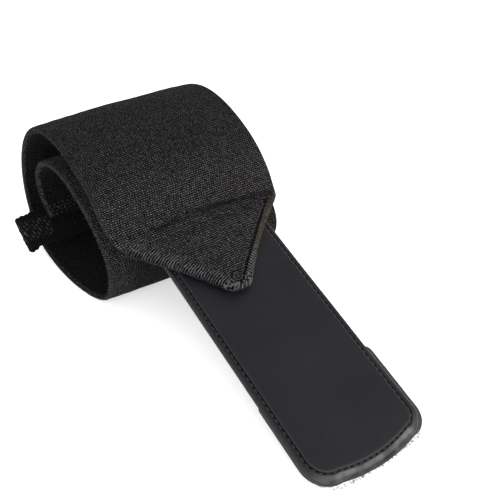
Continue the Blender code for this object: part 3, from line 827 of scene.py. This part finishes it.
def build_band(materials, rows):
    s, left, x, z, nx, nz, skew, thick, slid = (
        rows[key][:, None] for key in ("s", "left", "x", "z", "nx", "nz", "skew", "thick", "slid"))
    outer = OUTER_HALF[:-1] + tuple(1 - share for share in reversed(OUTER_HALF))
    inner = tuple(1 - share for share in INNER_HALF[1:]) + tuple(reversed(INNER_HALF[1:-1]))
    shares = np.array(outer + inner)
    is_outer = np.arange(len(shares)) < len(outer)
    width = rows["right"][:, None] - left
    from_left, from_right = shares * width, (1 - shares) * width
    cloth_y = from_left + (left - slid)
    from_tip = s - s[0]

    slant = np.where(s < 0, math.cos(math.atan2(BAND_WIDTH / 2, POINT_LENGTH)), 1.0)
    side = np.minimum(from_left, from_right) * slant
    border = np.where(s < 0.002, np.minimum(side, from_tip + 0.00002), side)
    in_point = 1.0 - smoothstep(0.0, FOLD_RAMP, s)
    factor = edge_factor(border, BAND_EDGE_ROUND + (POINT_EDGE_ROUND - BAND_EDGE_ROUND) * in_point)
    factor = factor * edge_factor(s[-1] - s + 0.0003, TAIL_EDGE_ROUND)
    offset = np.where(is_outer, thick / 2 * (1 - factor), thick - thick / 2 * (1 - factor))

    rib = np.abs(np.sin(math.pi * s / RIB_PITCH)) ** 0.8 - 0.5
    calm = smoothstep(0.0, 0.0006, border)
    strong = (from_right < from_left) | ((from_tip < side) & (s < 0))
    crease, below = base_crease(s, cloth_y, from_left, from_right)
    lift = RIB_HEIGHT * rib * calm + rim_relief(s, border, strong) - BASE_CREASE * crease
    lift = lift + WAVINESS * waves(s, from_left, WAVINESS_LENGTH, 3) * smoothstep(0.0, 0.004, border)
    lift = lift + DIMPLE_DEPTH * waves(s, from_left, DIMPLE_LENGTH, 8) * smoothstep(0.0, 0.003, border)
    inward = np.where(is_outer, offset - lift, offset + INNER_RIB_HEIGHT * rib * calm)

    teeth = EDGE_TEETH * rib * (1.0 - smoothstep(0.0, EDGE_TEETH_REACH, side))
    y = left + from_left + np.where(from_right < from_left, teeth, -teeth)
    crown = ROLL_CROWN * (z / ROLL_HEIGHT) ** CROWN_FALL * np.sin(math.pi * shares) * (s >= 0)
    x = x + skew * shares + nx * inward
    z = np.maximum(z + nz * inward + crown, LEAST_HEIGHT)
    count, size = x.shape
    points = np.stack((x, y, z), axis=2).reshape(-1, 3)

    band_mm = BAND_WIDTH / MM
    ring_mm = np.where(is_outer, shares * band_mm, 2 * band_mm + EDGE_MM - shares * band_mm)
    ring_mm[len(outer) - 1] = band_mm + EDGE_MM / 2
    ring_mm = np.append(ring_mm, 2 * band_mm + 2 * EDGE_MM)
    uvs = ring_uvs(rows["s"] / MM, np.where(is_outer, cloth_y / MM, ring_mm[:-1]), ring_mm)
    slots = np.where(np.arange(size) < len(outer) + 1, 0, 1)
    slots[-2:] = 0
    slots = np.append(np.tile(slots, count - 1), (0, 0))

    marks = side_marks(-s + 0.0 * y, y)
    front_wall = smoothstep(*FRONT_WALL_START, s) * smoothstep(*FRONT_WALL_END, s)
    # Painted light: a warmer tint on the front wall by its right edge
    marks["painted_warm_light"] = front_wall * smoothstep(0.016, 0.004, from_right)
    # Painted shade on the front wall under the point, away from its edges and off the floor
    painted_flap_shade = front_wall * smoothstep(0.005, 0.015, cloth_y) * smoothstep(0.001, 0.009, z)
    painted_flap_shade = painted_flap_shade * smoothstep(0.004, 0.012, from_right)
    # Painted shade on the roll's crown, darker towards its top
    painted_crown_shade = smoothstep(0.72, 0.97, z / ROLL_HEIGHT)
    shaded = CREASE_SHADE * crease + BELOW_CREASE_SHADE * below
    shaded = shaded + FRONT_WALL_SHADE * painted_flap_shade + CROWN_SHADE * painted_crown_shade
    marks["shaded"] = np.clip(shaded, 0.0, 1.0)
    faces = ring_faces(count, size, turned=True)
    return make_object("elastic_band_woven", points, faces, materials, slots.tolist(), uvs, marks)


# The tab and its hook tape


def place_on_plank(points, depth):
    """Points on the tab or the tape, set under the point, this far below the sloping run's top."""
    x, z, slope = plank_frame()
    placed = np.array(points, float)
    flat = placed[:, 0] + POINT_LENGTH - TAB_TUCK
    down = placed[:, 2] - depth
    placed[:, 0] = x + flat * math.cos(slope) + down * math.sin(slope)
    placed[:, 2] = z - flat * math.sin(slope) + down * math.cos(slope)
    return placed


def tab_depth():
    return FOLD_THICKNESS + CLEARANCE + TAB_PANEL_RISE


def tape_depth():
    return tab_depth() + TAB_THICKNESS + CLEARANCE


def tab_sides():
    middle = TAB_CENTRE * BAND_WIDTH
    return middle - TAB_WIDTH / 2, middle + TAB_WIDTH / 2


def tongue(start, end, left, right, inset, side_steps):
    """Outline of the tab's shape, anticlockwise from its tucked left corner."""
    left_radius = max(TAB_LEFT_CORNER_RADIUS - inset, LEAST_RADIUS)
    right_radius = max(TAB_RIGHT_CORNER_RADIUS - inset, LEAST_RADIUS)
    shoulder = end - TAB_END_BOW
    run = np.arange(side_steps) / side_steps
    left_run = start + (shoulder - left_radius - start) * run
    right_run = start + (shoulder - right_radius - start) * run
    share = np.arange(1, END_STEPS) / END_STEPS
    across = left + left_radius + share * (right - left - left_radius - right_radius)
    return np.concatenate((
        np.column_stack((left_run, np.full(side_steps, left))),
        arc((shoulder - left_radius, left + left_radius), left_radius, -90, 90, CORNER_STEPS),
        np.column_stack((shoulder + TAB_END_BOW * 4 * share * (1 - share), across)),
        arc((shoulder - right_radius, right - right_radius), right_radius, 0, 90, CORNER_STEPS),
        np.column_stack((right_run[::-1], np.full(side_steps, right))),
    ))


def tab_ring(inset):
    """The tab's outline moved in from its edge, and further in at its free end, past the bevel."""
    left, right = tab_sides()
    end = TAB_LENGTH - inset - END_BEVEL_WIDTH * float(smoothstep(0.0006, 0.0020, inset))
    end += END_GROOVE_CLOSED * float(smoothstep(0.0020, 0.0030, inset))
    return tongue(inset, end, left + inset, right - inset, inset, TAB_SIDE_STEPS)


def end_weight(ring):
    """How much each point of an outline faces the free end, from 0 to 1."""
    ahead = np.roll(ring, -1, axis=0) - np.roll(ring, 1, axis=0)
    ahead[0] = ring[1] - ring[0]
    ahead[-1] = ring[-1] - ring[-2]
    ahead /= np.maximum(np.linalg.norm(ahead, axis=1)[:, None], 1e-9)
    return np.clip(ahead[:, 1], 0.0, 1.0) ** 1.5 * (ring[:, 0] > TAB_LENGTH / 2)


def build_tab(material):
    points, wear, depth, bevel = [], [], [], []
    for inset, height, worn, deep in TAB_PROFILE:
        ring = tab_ring(inset)
        facing = end_weight(ring)
        z = np.full(len(ring), height)
        if height >= -0.0013:
            outer = max(0.0, 1.0 - inset / END_BEVEL_INSET)
            z = np.maximum(z - END_BEVEL * outer * facing, END_BEVEL_FOOT)
        wavy = TAB_WAVINESS * float(1.0 - smoothstep(0.012, 0.022, inset)) * (height > -0.0019)
        z += wavy * waves(ring[:, 0], ring[:, 1], TAB_WAVE_LENGTH, 5)
        points.append(np.column_stack((ring, z)))
        wear += [worn] * len(ring)
        # The depth mark is how deep in painted shadow, not a depth of the shape
        depth += [deep] * len(ring)
        # How much each point lies on the end bevel, which the rubber paints lighter: partly rubbed, partly a
        # painted highlight
        flank = float(smoothstep(0.0001, 0.0004, inset) * (1.0 - smoothstep(0.0017, 0.0020, inset)))
        bevel += (flank * facing).tolist()
    faces = ring_faces(len(points), len(points[0]))
    placed = place_on_plank(np.concatenate(points), tab_depth())
    marks = {"wear": wear, "depth": depth, "bevel": bevel}
    return make_object("tab_moulded", placed, faces, [material], attributes=marks)


def stadium(radius, length):
    """A small bowed thread along +X: points and faces."""
    points = []
    for ring in range(STITCH_RINGS):
        share = ring / (STITCH_RINGS - 1)
        swell = radius * math.sin(math.pi * min(max(share, 0.08), 0.92)) ** 0.45
        lift = radius * (math.sin(math.pi * share) - 0.6)
        for side in range(STITCH_SIDES):
            angle = 2 * math.pi * side / STITCH_SIDES
            points.append(((share - 0.5) * length, swell * math.cos(angle), lift + swell * math.sin(angle)))
    return np.array(points), ring_faces(STITCH_RINGS, STITCH_SIDES)


def tube_along(line, radius):
    """A thin tube round a short polyline: points and faces."""
    line = np.asarray(line, float)
    points = []
    for n, place in enumerate(line):
        ahead = unit(line[min(n + 1, len(line) - 1)] - line[max(n - 1, 0)])
        side = unit(np.cross(ahead, (0.31, 0.83, 0.46)))
        up = np.cross(side, ahead)
        for k in range(TUBE_SIDES):
            angle = 2 * math.pi * k / TUBE_SIDES
            points.append(place + radius * (math.cos(angle) * side + math.sin(angle) * up))
    return np.array(points), ring_faces(len(line), TUBE_SIDES)


def join(parts):
    points, faces, start = [], [], 0
    for some, more in parts:
        points.append(some)
        faces += [[start + n for n in face] for face in more]
        start += len(some)
    return np.concatenate(points), faces


def scatter(shape, places):
    """Copies of one small shape, joined. Each place is a centre and its along and up directions."""
    base, faces = shape
    parts = []
    for centre, along, up in places:
        along = unit(along)
        up = unit(up - along * (up @ along))
        parts.append((centre + base @ np.stack((along, np.cross(up, along), up)), faces))
    return join(parts)


def build_tab_stitches(material):
    ring = tab_ring(GROOVE_INSET)
    travel = np.concatenate(([0.0], np.cumsum(np.linalg.norm(np.diff(ring, axis=0), axis=1))))
    at = np.arange(0.001, travel[-1], TAB_STITCH.pitch)

    def placed(ahead):
        where = [np.interp(at + ahead, travel, ring[:, n]) for n in (0, 1)]
        return place_on_plank(np.column_stack((*where, np.full(len(at), -GROOVE_THREAD_DEPTH))), tab_depth())

    slope = plank_frame()[2]
    up = np.array((math.sin(slope), 0.0, math.cos(slope)))
    places = zip(placed(0.0), placed(0.0004) - placed(-0.0004), [up] * len(at))
    points, faces = scatter(stadium(TAB_STITCH.radius, TAB_STITCH.length), places)
    return make_object("tab_stitches", points, faces, [material])


def hook_ring(inset):
    """The hook tape's outline moved in from its edge, with its two start corners rounded."""
    left, right = tab_sides()
    start = TAB_LENGTH - HOOK_LENGTH + inset
    near, far = left + inset, right + HOOK_SIDE_OVERHANG - inset
    ring = tongue(start, TAB_LENGTH - inset, near, far, inset, HOOK_SIDE_STEPS)
    radius = max(HOOK_CORNER_RADIUS - inset, LEAST_RADIUS)
    return np.concatenate((
        ring[HOOK_CORNER_STEPS:-HOOK_CORNER_STEPS],
        arc((start + radius, far - radius), radius, 90, 90, HOOK_ARC_STEPS),
        arc((start + radius, near + radius), radius, 180, 90, HOOK_ARC_STEPS),
    ))


def build_hook_tape(material):
    points = []
    for inset, height in HOOK_BASE_PROFILE:
        ring = hook_ring(inset)
        z = height + TAPE_WAVINESS * waves(ring[:, 0], ring[:, 1], TAPE_WAVE_LENGTH, 11)
        points.append(np.column_stack((ring, z)))
    faces = ring_faces(len(points), len(points[0]))
    placed = place_on_plank(np.concatenate(points), tape_depth())
    return make_object("hook_tape_base", placed, faces, [material])


def build_hooks(material):
    """Rows of small bent hooks under the tape, and longer strays past its free end."""
    dice = random.Random(41)
    left, right = tab_sides()
    right += HOOK_SIDE_OVERHANG
    parts = []
    height = HOOK_THICKNESS - HOOK_BASE - 0.0001
    cut = TAB_LEFT_CORNER_RADIUS
    start = TAB_LENGTH - HOOK_LENGTH + HOOK_MARGIN
    for row in range(int(HOOK_LENGTH / HOOK_PITCH) - 1):
        for column in range(int((right - left - 2 * HOOK_MARGIN) / HOOK_PITCH)):
            x = start + row * HOOK_PITCH + dice.uniform(-HOOK_JITTER, HOOK_JITTER)
            y = left + HOOK_MARGIN + column * HOOK_PITCH + dice.uniform(-HOOK_JITTER, HOOK_JITTER)
            out_x = x - (TAB_LENGTH - TAB_END_BOW - cut)
            out_y = max(left + cut - y, y - (right - cut))
            if out_x > 0 and out_y > 0 and math.hypot(out_x, out_y) > cut - HOOK_EDGE_MARGIN:
                continue
            bend = HOOK_BEND if (row + column) % 2 else -HOOK_BEND
            foot, knee, tip = -HOOK_BASE + 0.0001, -HOOK_BASE - height * 0.8, -HOOK_BASE - height
            parts.append(tube_along([(x, y, foot), (x, y, knee), (x + bend, y, tip)], HOOK_RADIUS))
    middle, half = (left + right) / 2, (right - left) / 2
    for _ in range(STRAY_COUNT):
        share = dice.uniform(-1.0, 1.0)
        y = middle + share * half * STRAY_SPAN
        edge = TAB_LENGTH - TAB_END_BOW * share * share
        corner = TAB_LEFT_CORNER_RADIUS if share < 0 else TAB_RIGHT_CORNER_RADIUS
        past = abs(share) * half - (half - corner)
        if past > 0:
            edge -= corner - math.sqrt(max(corner ** 2 - past ** 2, 0.0))
        x = edge - dice.uniform(0.0, 0.0012)
        z = -HOOK_BASE - dice.uniform(0.0, 0.0004)
        reach = dice.uniform(0.0003, 0.0011)
        swing = dice.uniform(-0.0008, 0.0008)
        drop = dice.uniform(-0.0004, 0.0003)
        line = [(x, y, z), (x + reach * 0.6, y + swing * 0.4, z + drop * 0.3), (x + reach, y + swing, z + drop)]
        parts.append(tube_along(line, STRAY_RADIUS))
    points, faces = join(parts)
    placed = place_on_plank(points, tape_depth())
    placed[:, 2] = np.maximum(placed[:, 2], LEAST_HEIGHT)
    return make_object("hooks", placed, faces, [material])


# The thumb loop


def tail_frame(rows):
    """The band's tail: its end, the directions on along it and out of it, and its left edge."""
    end = np.array((rows["x"][-1], 0.0, rows["z"][-1]))
    ahead = unit(end - np.array((rows["x"][-8], 0.0, rows["z"][-8])))
    return end, ahead, np.array((ahead[2], 0.0, -ahead[0])), rows["left"][-1]


def loop_line(shift):
    """Dense places (y, out) along the webbing's middle, their travel, and how far the mouth flares."""
    near = CLEARANCE + LOOP_THICKNESS / 2
    far = near + LOOP_THICKNESS + CLEARANCE
    bend = (LOOP_HOLE + LOOP_THICKNESS) / 2
    middle = (near + far) / 2
    centre = shift - LOOP_REACH + bend + LOOP_THICKNESS / 2
    mouth, opening = (centre + shift) / 2, bend * LOOP_MOUTH_OPENING
    sewn = [shift + LOOP_SEWN_LENGTH, shift + 0.012, shift + 0.002]
    knots = np.concatenate((
        [(y, near) for y in sewn],
        [(mouth, middle - opening)],
        arc((centre, middle), bend, -90, -180, 8),
        [(mouth, middle + opening)],
        [(y, far) for y in reversed(sewn)],
    ))
    at = np.concatenate(([0.0], np.cumsum(np.linalg.norm(np.diff(knots, axis=0), axis=1))))
    travel = np.arange(0.0, at[-1], LOOP_STEP)
    return smooth_curve(at, knots, travel), travel, LOOP_FLARE * smoothstep(at[11], at[13], travel)


def build_loop(material, rows):
    end, ahead, outward, shift = tail_frame(rows)
    line, travel, slide = loop_line(shift)
    direction = np.gradient(line, axis=0)
    direction /= np.linalg.norm(direction, axis=1)[:, None]
    normal = np.stack((direction[:, 1], -direction[:, 0]), axis=1)
    t = travel[:, None]
    w = np.linspace(0.0, LOOP_WIDTH, LOOP_COLUMNS)[None, :]
    border = np.minimum(w, LOOP_WIDTH - w)

    turn = t / KNIT_ROW + 0.25 * w / KNIT_ROW
    cell = w / KNIT_CELL + 0.5 * (np.floor(turn) % 2) + 0.28 * waves(t, w, 0.006, 29)
    crown = np.abs(np.sin(math.pi * turn)) ** 1.1 * np.abs(np.sin(math.pi * cell)) ** 0.7
    crown = np.clip(crown * (0.85 + 0.25 * waves(t, w, 0.004, 37)), 0.0, 1.0)
    crown = crown * (0.30 + 0.70 * smoothstep(0.0018, 0.0050, border))
    relief = KNIT_RELIEF * (crown - 0.5) * smoothstep(0.0, 0.0006, border)
    half = LOOP_THICKNESS / 2 * edge_factor(border, KNIT_EDGE_ROUND)
    edge_wave = KNIT_EDGE_WAVE * np.sin(t / KNIT_EDGE_PITCH * math.pi) * (1 - smoothstep(0.0, 0.001, border))
    along = w - LOOP_OVERLAP - slide[:, None] + edge_wave
    # Painted shade: the knit's crowns are dimmed where the webbing runs under the tail's end
    crown = crown * (0.55 + 0.45 * smoothstep(shift + 0.001, shift - 0.003, line[:, :1]))

    faces_of_cloth = []
    for sign in (1.0, -1.0):
        out = sign * (half + relief)
        places = end + along[:, :, None] * ahead + (line[:, 1:] + normal[:, 1:] * out)[:, :, None] * outward
        places[:, :, 1] = line[:, :1] + normal[:, :1] * out
        faces_of_cloth.append(places)
    top, bottom = faces_of_cloth
    points = np.concatenate((top, bottom[:, -2:0:-1]), axis=1)
    crowns = np.concatenate((crown, crown[:, -2:0:-1]), axis=1)
    count, size = crowns.shape
    ring_mm = np.arange(size + 1) * LOOP_WIDTH / (LOOP_COLUMNS - 1) / MM
    uvs = ring_uvs(travel / MM, ring_mm[:-1] + 0.0 * crowns, ring_mm)
    faces = ring_faces(count, size, turned=True)
    return make_object(
        "thumb_loop_knit", points.reshape(-1, 3), faces, [material], None, uvs, {"crown": crowns})


# Sewing on the band


class BandSurface:
    """Finds places on the band from travel along it and distance from its left edge."""

    def __init__(self, rows):
        self.rows = rows
        self.end = rows["s"][-1]

    def pick(self, key, travel):
        return float(np.interp(travel, self.rows["s"], self.rows[key]))

    def at(self, travel, from_left, inner=False, lift=0.0):
        x, z, left, right, skew, nx, nz, thick = (
            self.pick(key, travel) for key in ("x", "z", "left", "right", "skew", "nx", "nz", "thick"))
        share = from_left / max(right - left, 1e-6)
        offset = thick + lift if inner else -lift
        return np.array((x + skew * share + nx * offset, left + from_left, z + nz * offset))

    def normal(self, travel, inner=False):
        outward = unit(np.array((self.pick("nx", travel), 0.0, self.pick("nz", travel))))
        return outward if inner else -outward


def stitches_between(surface, ends, stitch, inner=False):
    """Stitches along straight runs on the cloth; each end is (travel, distance from the left edge)."""
    places = []
    for (s0, y0), (s1, y1) in zip(ends, ends[1:]):
        run = surface.at(s1, y1, inner) - surface.at(s0, y0, inner)
        count = max(1, int(round(np.linalg.norm(run) / stitch.pitch)))
        for n in range(count):
            share = (n + 0.5) / count
            travel, across = s0 + (s1 - s0) * share, y0 + (y1 - y0) * share
            places.append((surface.at(travel, across, inner, stitch.lift), run, surface.normal(travel, inner)))
    return scatter(stadium(stitch.radius, stitch.length), places)


def build_band_sewing(material, surface):
    """The seam inside the point's rim, the sewn ring near its tip and the rows across the tail."""
    rim_line = []
    for share in np.linspace(0.06, 0.86, 12):
        travel = -share * POINT_LENGTH
        rim_line.append((travel, surface.pick("right", travel) - SEAM_BACK - surface.pick("left", travel)))
    slid = BAND_ROUTE[0].shift * BAND_WIDTH
    ring = []
    for travel, across in arc(RING_AT, RING_RADIUS, 0, 360, 8):
        ring.append((travel, slid + across - surface.pick("left", travel)))
    parts = [
        stitches_between(surface, rim_line, POINT_STITCH),
        stitches_between(surface, ring, RING_STITCH),
    ]
    for back, start in TAIL_SEAMS:
        row = [(surface.end - back, start), (surface.end - back, TAIL_SEAM_END)]
        parts.append(stitches_between(surface, row, TAIL_STITCH, inner=True))
    return make_object("band_stitches", *join(parts), [material])


def any_way(dice):
    return np.array((dice.uniform(-1, 1), dice.uniform(-1, 1), dice.uniform(-1, 1)))


def build_tail_specks(material, surface):
    """Short pale thread ends along the tail's raw edge."""
    dice = random.Random(7)
    parts = []
    for n in range(THREAD_END_COUNT):
        if n % 2:
            travel = surface.end - dice.uniform(0.0, 0.024)
            across = dice.uniform(0.0002, 0.0016)
        else:
            travel = surface.end - dice.uniform(0.0, 0.011) * dice.uniform(0.2, 1.0)
            across = dice.uniform(0.0003, 0.034)
        start = surface.at(travel, across, True, 0.00005)
        up = surface.normal(travel, True)
        swing = any_way(dice) * 0.0006
        tip = start + up * dice.uniform(0.0001, 0.0005) + swing
        parts.append(tube_along([start, (start + tip) / 2 + up * 0.00015, tip], THREAD_END_RADIUS))
    return make_object("tail_thread_ends", *join(parts), [material])


def build_fibres(material, surface):
    """Short loose fibres that stand off the cloth, most of them along its edges."""
    dice = random.Random(23)
    parts = []
    for n in range(FIBRE_COUNT):
        travel = dice.uniform(-0.031, surface.end - 0.002)
        width = surface.pick("right", travel) - surface.pick("left", travel)
        if n % 3:
            across = dice.choice((0.0, width)) + dice.uniform(-0.0002, 0.0002)
            start = surface.at(travel, across, False, -dice.uniform(0.0004, 0.0024))
            outward = np.array((0.0, -1.0 if across < width / 2 else 1.0, 0.0))
        else:
            across = dice.uniform(0.002, width - 0.002)
            start = surface.at(travel, across)
            outward = surface.normal(travel)
        swing = any_way(dice)
        reach = dice.uniform(0.0002, 0.0006)
        tip = start + outward * reach * 0.7 + swing * reach * 0.8
        parts.append(tube_along([start, (start + tip) / 2 + outward * 0.0001, tip], FIBRE_RADIUS))
    points, faces = join(parts)
    points[:, 2] = np.maximum(points[:, 2], 0.00003)
    return make_object("loose_fibres", points, faces, [material])


# Floor, light and camera


def build_stage():
    mesh = bpy.data.meshes.new("floor")
    near, far = -FLOOR_HALF, FLOOR_HALF
    mesh.from_pydata([(near, near, 0), (far, near, 0), (far, far, 0), (near, far, 0)], [], [(0, 1, 2, 3)])
    mesh.materials.append(pale_floor())
    floor = link(bpy.data.objects.new("floor", mesh))
    floor.location.z = FLOOR_DROP

    world = bpy.data.worlds.new("studio")
    world.use_nodes = True
    background = world.node_tree.nodes["Background"]
    background.inputs["Color"].default_value = (*WHITE, 1.0)
    background.inputs["Strength"].default_value = SKY
    bpy.context.scene.world = world


def area_light(name, place, target, side, radiance, colour):
    data = bpy.data.lights.new(name, "AREA")
    data.shape = "RECTANGLE"
    data.size, data.size_y = side, side
    data.energy = radiance * math.pi * side * side
    data.color = colour
    lamp = link(bpy.data.objects.new(name, data))
    lamp.location = place
    lamp.rotation_euler = (Vector(target) - Vector(place)).to_track_quat("-Z", "Y").to_euler()


def build_lights():
    area_light("front_box", (0.70, -0.26, 0.48), (0.0, 0.0, 0.0), 0.8, 2.5, WHITE)
    area_light("right_box", (0.50, 0.31, 0.37), (0.10, 0.01, 0.01), 0.26, 10.5, WARM_LIGHT)


def build_camera():
    data = bpy.data.cameras.new("camera")
    data.sensor_width = SENSOR_WIDTH
    data.lens = FOCAL_LENGTH_IN_WIDTHS * SENSOR_WIDTH
    data.clip_start = 0.01
    camera = link(bpy.data.objects.new("camera", data))
    camera.location = CAMERA_PLACE
    camera.rotation_euler = (math.radians(CAMERA_TILT), 0.0, math.radians(CAMERA_TURN))
    bpy.context.scene.camera = camera


def main():
    build_camera()
    build_stage()
    build_lights()
    bpy.context.scene.view_settings.view_transform = "Standard"

    thread = flecked("sewing_thread", THREAD, 2600.0, 0.55, sheen=0.15, specular=0.45, relief=0.00008)
    pale_thread = flecked("pale_thread", PALE_THREAD, 2600.0, 0.55, sheen=0.15, specular=0.45, relief=0.00008)
    tape_weave = flecked("hook_tape", TAPE, 1800.0, 0.60, detail=3.0, specular=0.40, relief=0.00015)
    rows = band_rows()
    surface = BandSurface(rows)
    band = build_band([ribbed_elastic(), lining_pile()], rows)
    tab = build_tab(moulded_rubber())
    tape = build_hook_tape(tape_weave)
    hooks = build_hooks(flecked("hook_plastic", HOOK, 700.0, 0.35))
    loop = build_loop(knit_webbing(), rows)
    tab_stitches = build_tab_stitches(thread)
    band_stitches = build_band_sewing(thread, surface)
    tail_ends = build_tail_specks(pale_thread, surface)
    fibres = build_fibres(flecked("loose_fibre", FIBRE, 900.0, 0.70, sheen=0.2), surface)

    pieces = {
        band: "ribbed_elastic",
        tab: "moulded_rubber",
        tape: "hook_tape",
        hooks: "hook_tape",
        loop: "knit_webbing",
        tab_stitches: "moulded_rubber",
        band_stitches: "ribbed_elastic",
        tail_ends: "ribbed_elastic",
        fibres: "ribbed_elastic",
    }
    for piece, slot in pieces.items():
        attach(piece, "root")
    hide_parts("elastic_band")
    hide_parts("tab")
    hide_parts("hook_patch")
    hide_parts("thumb_loop")


main()
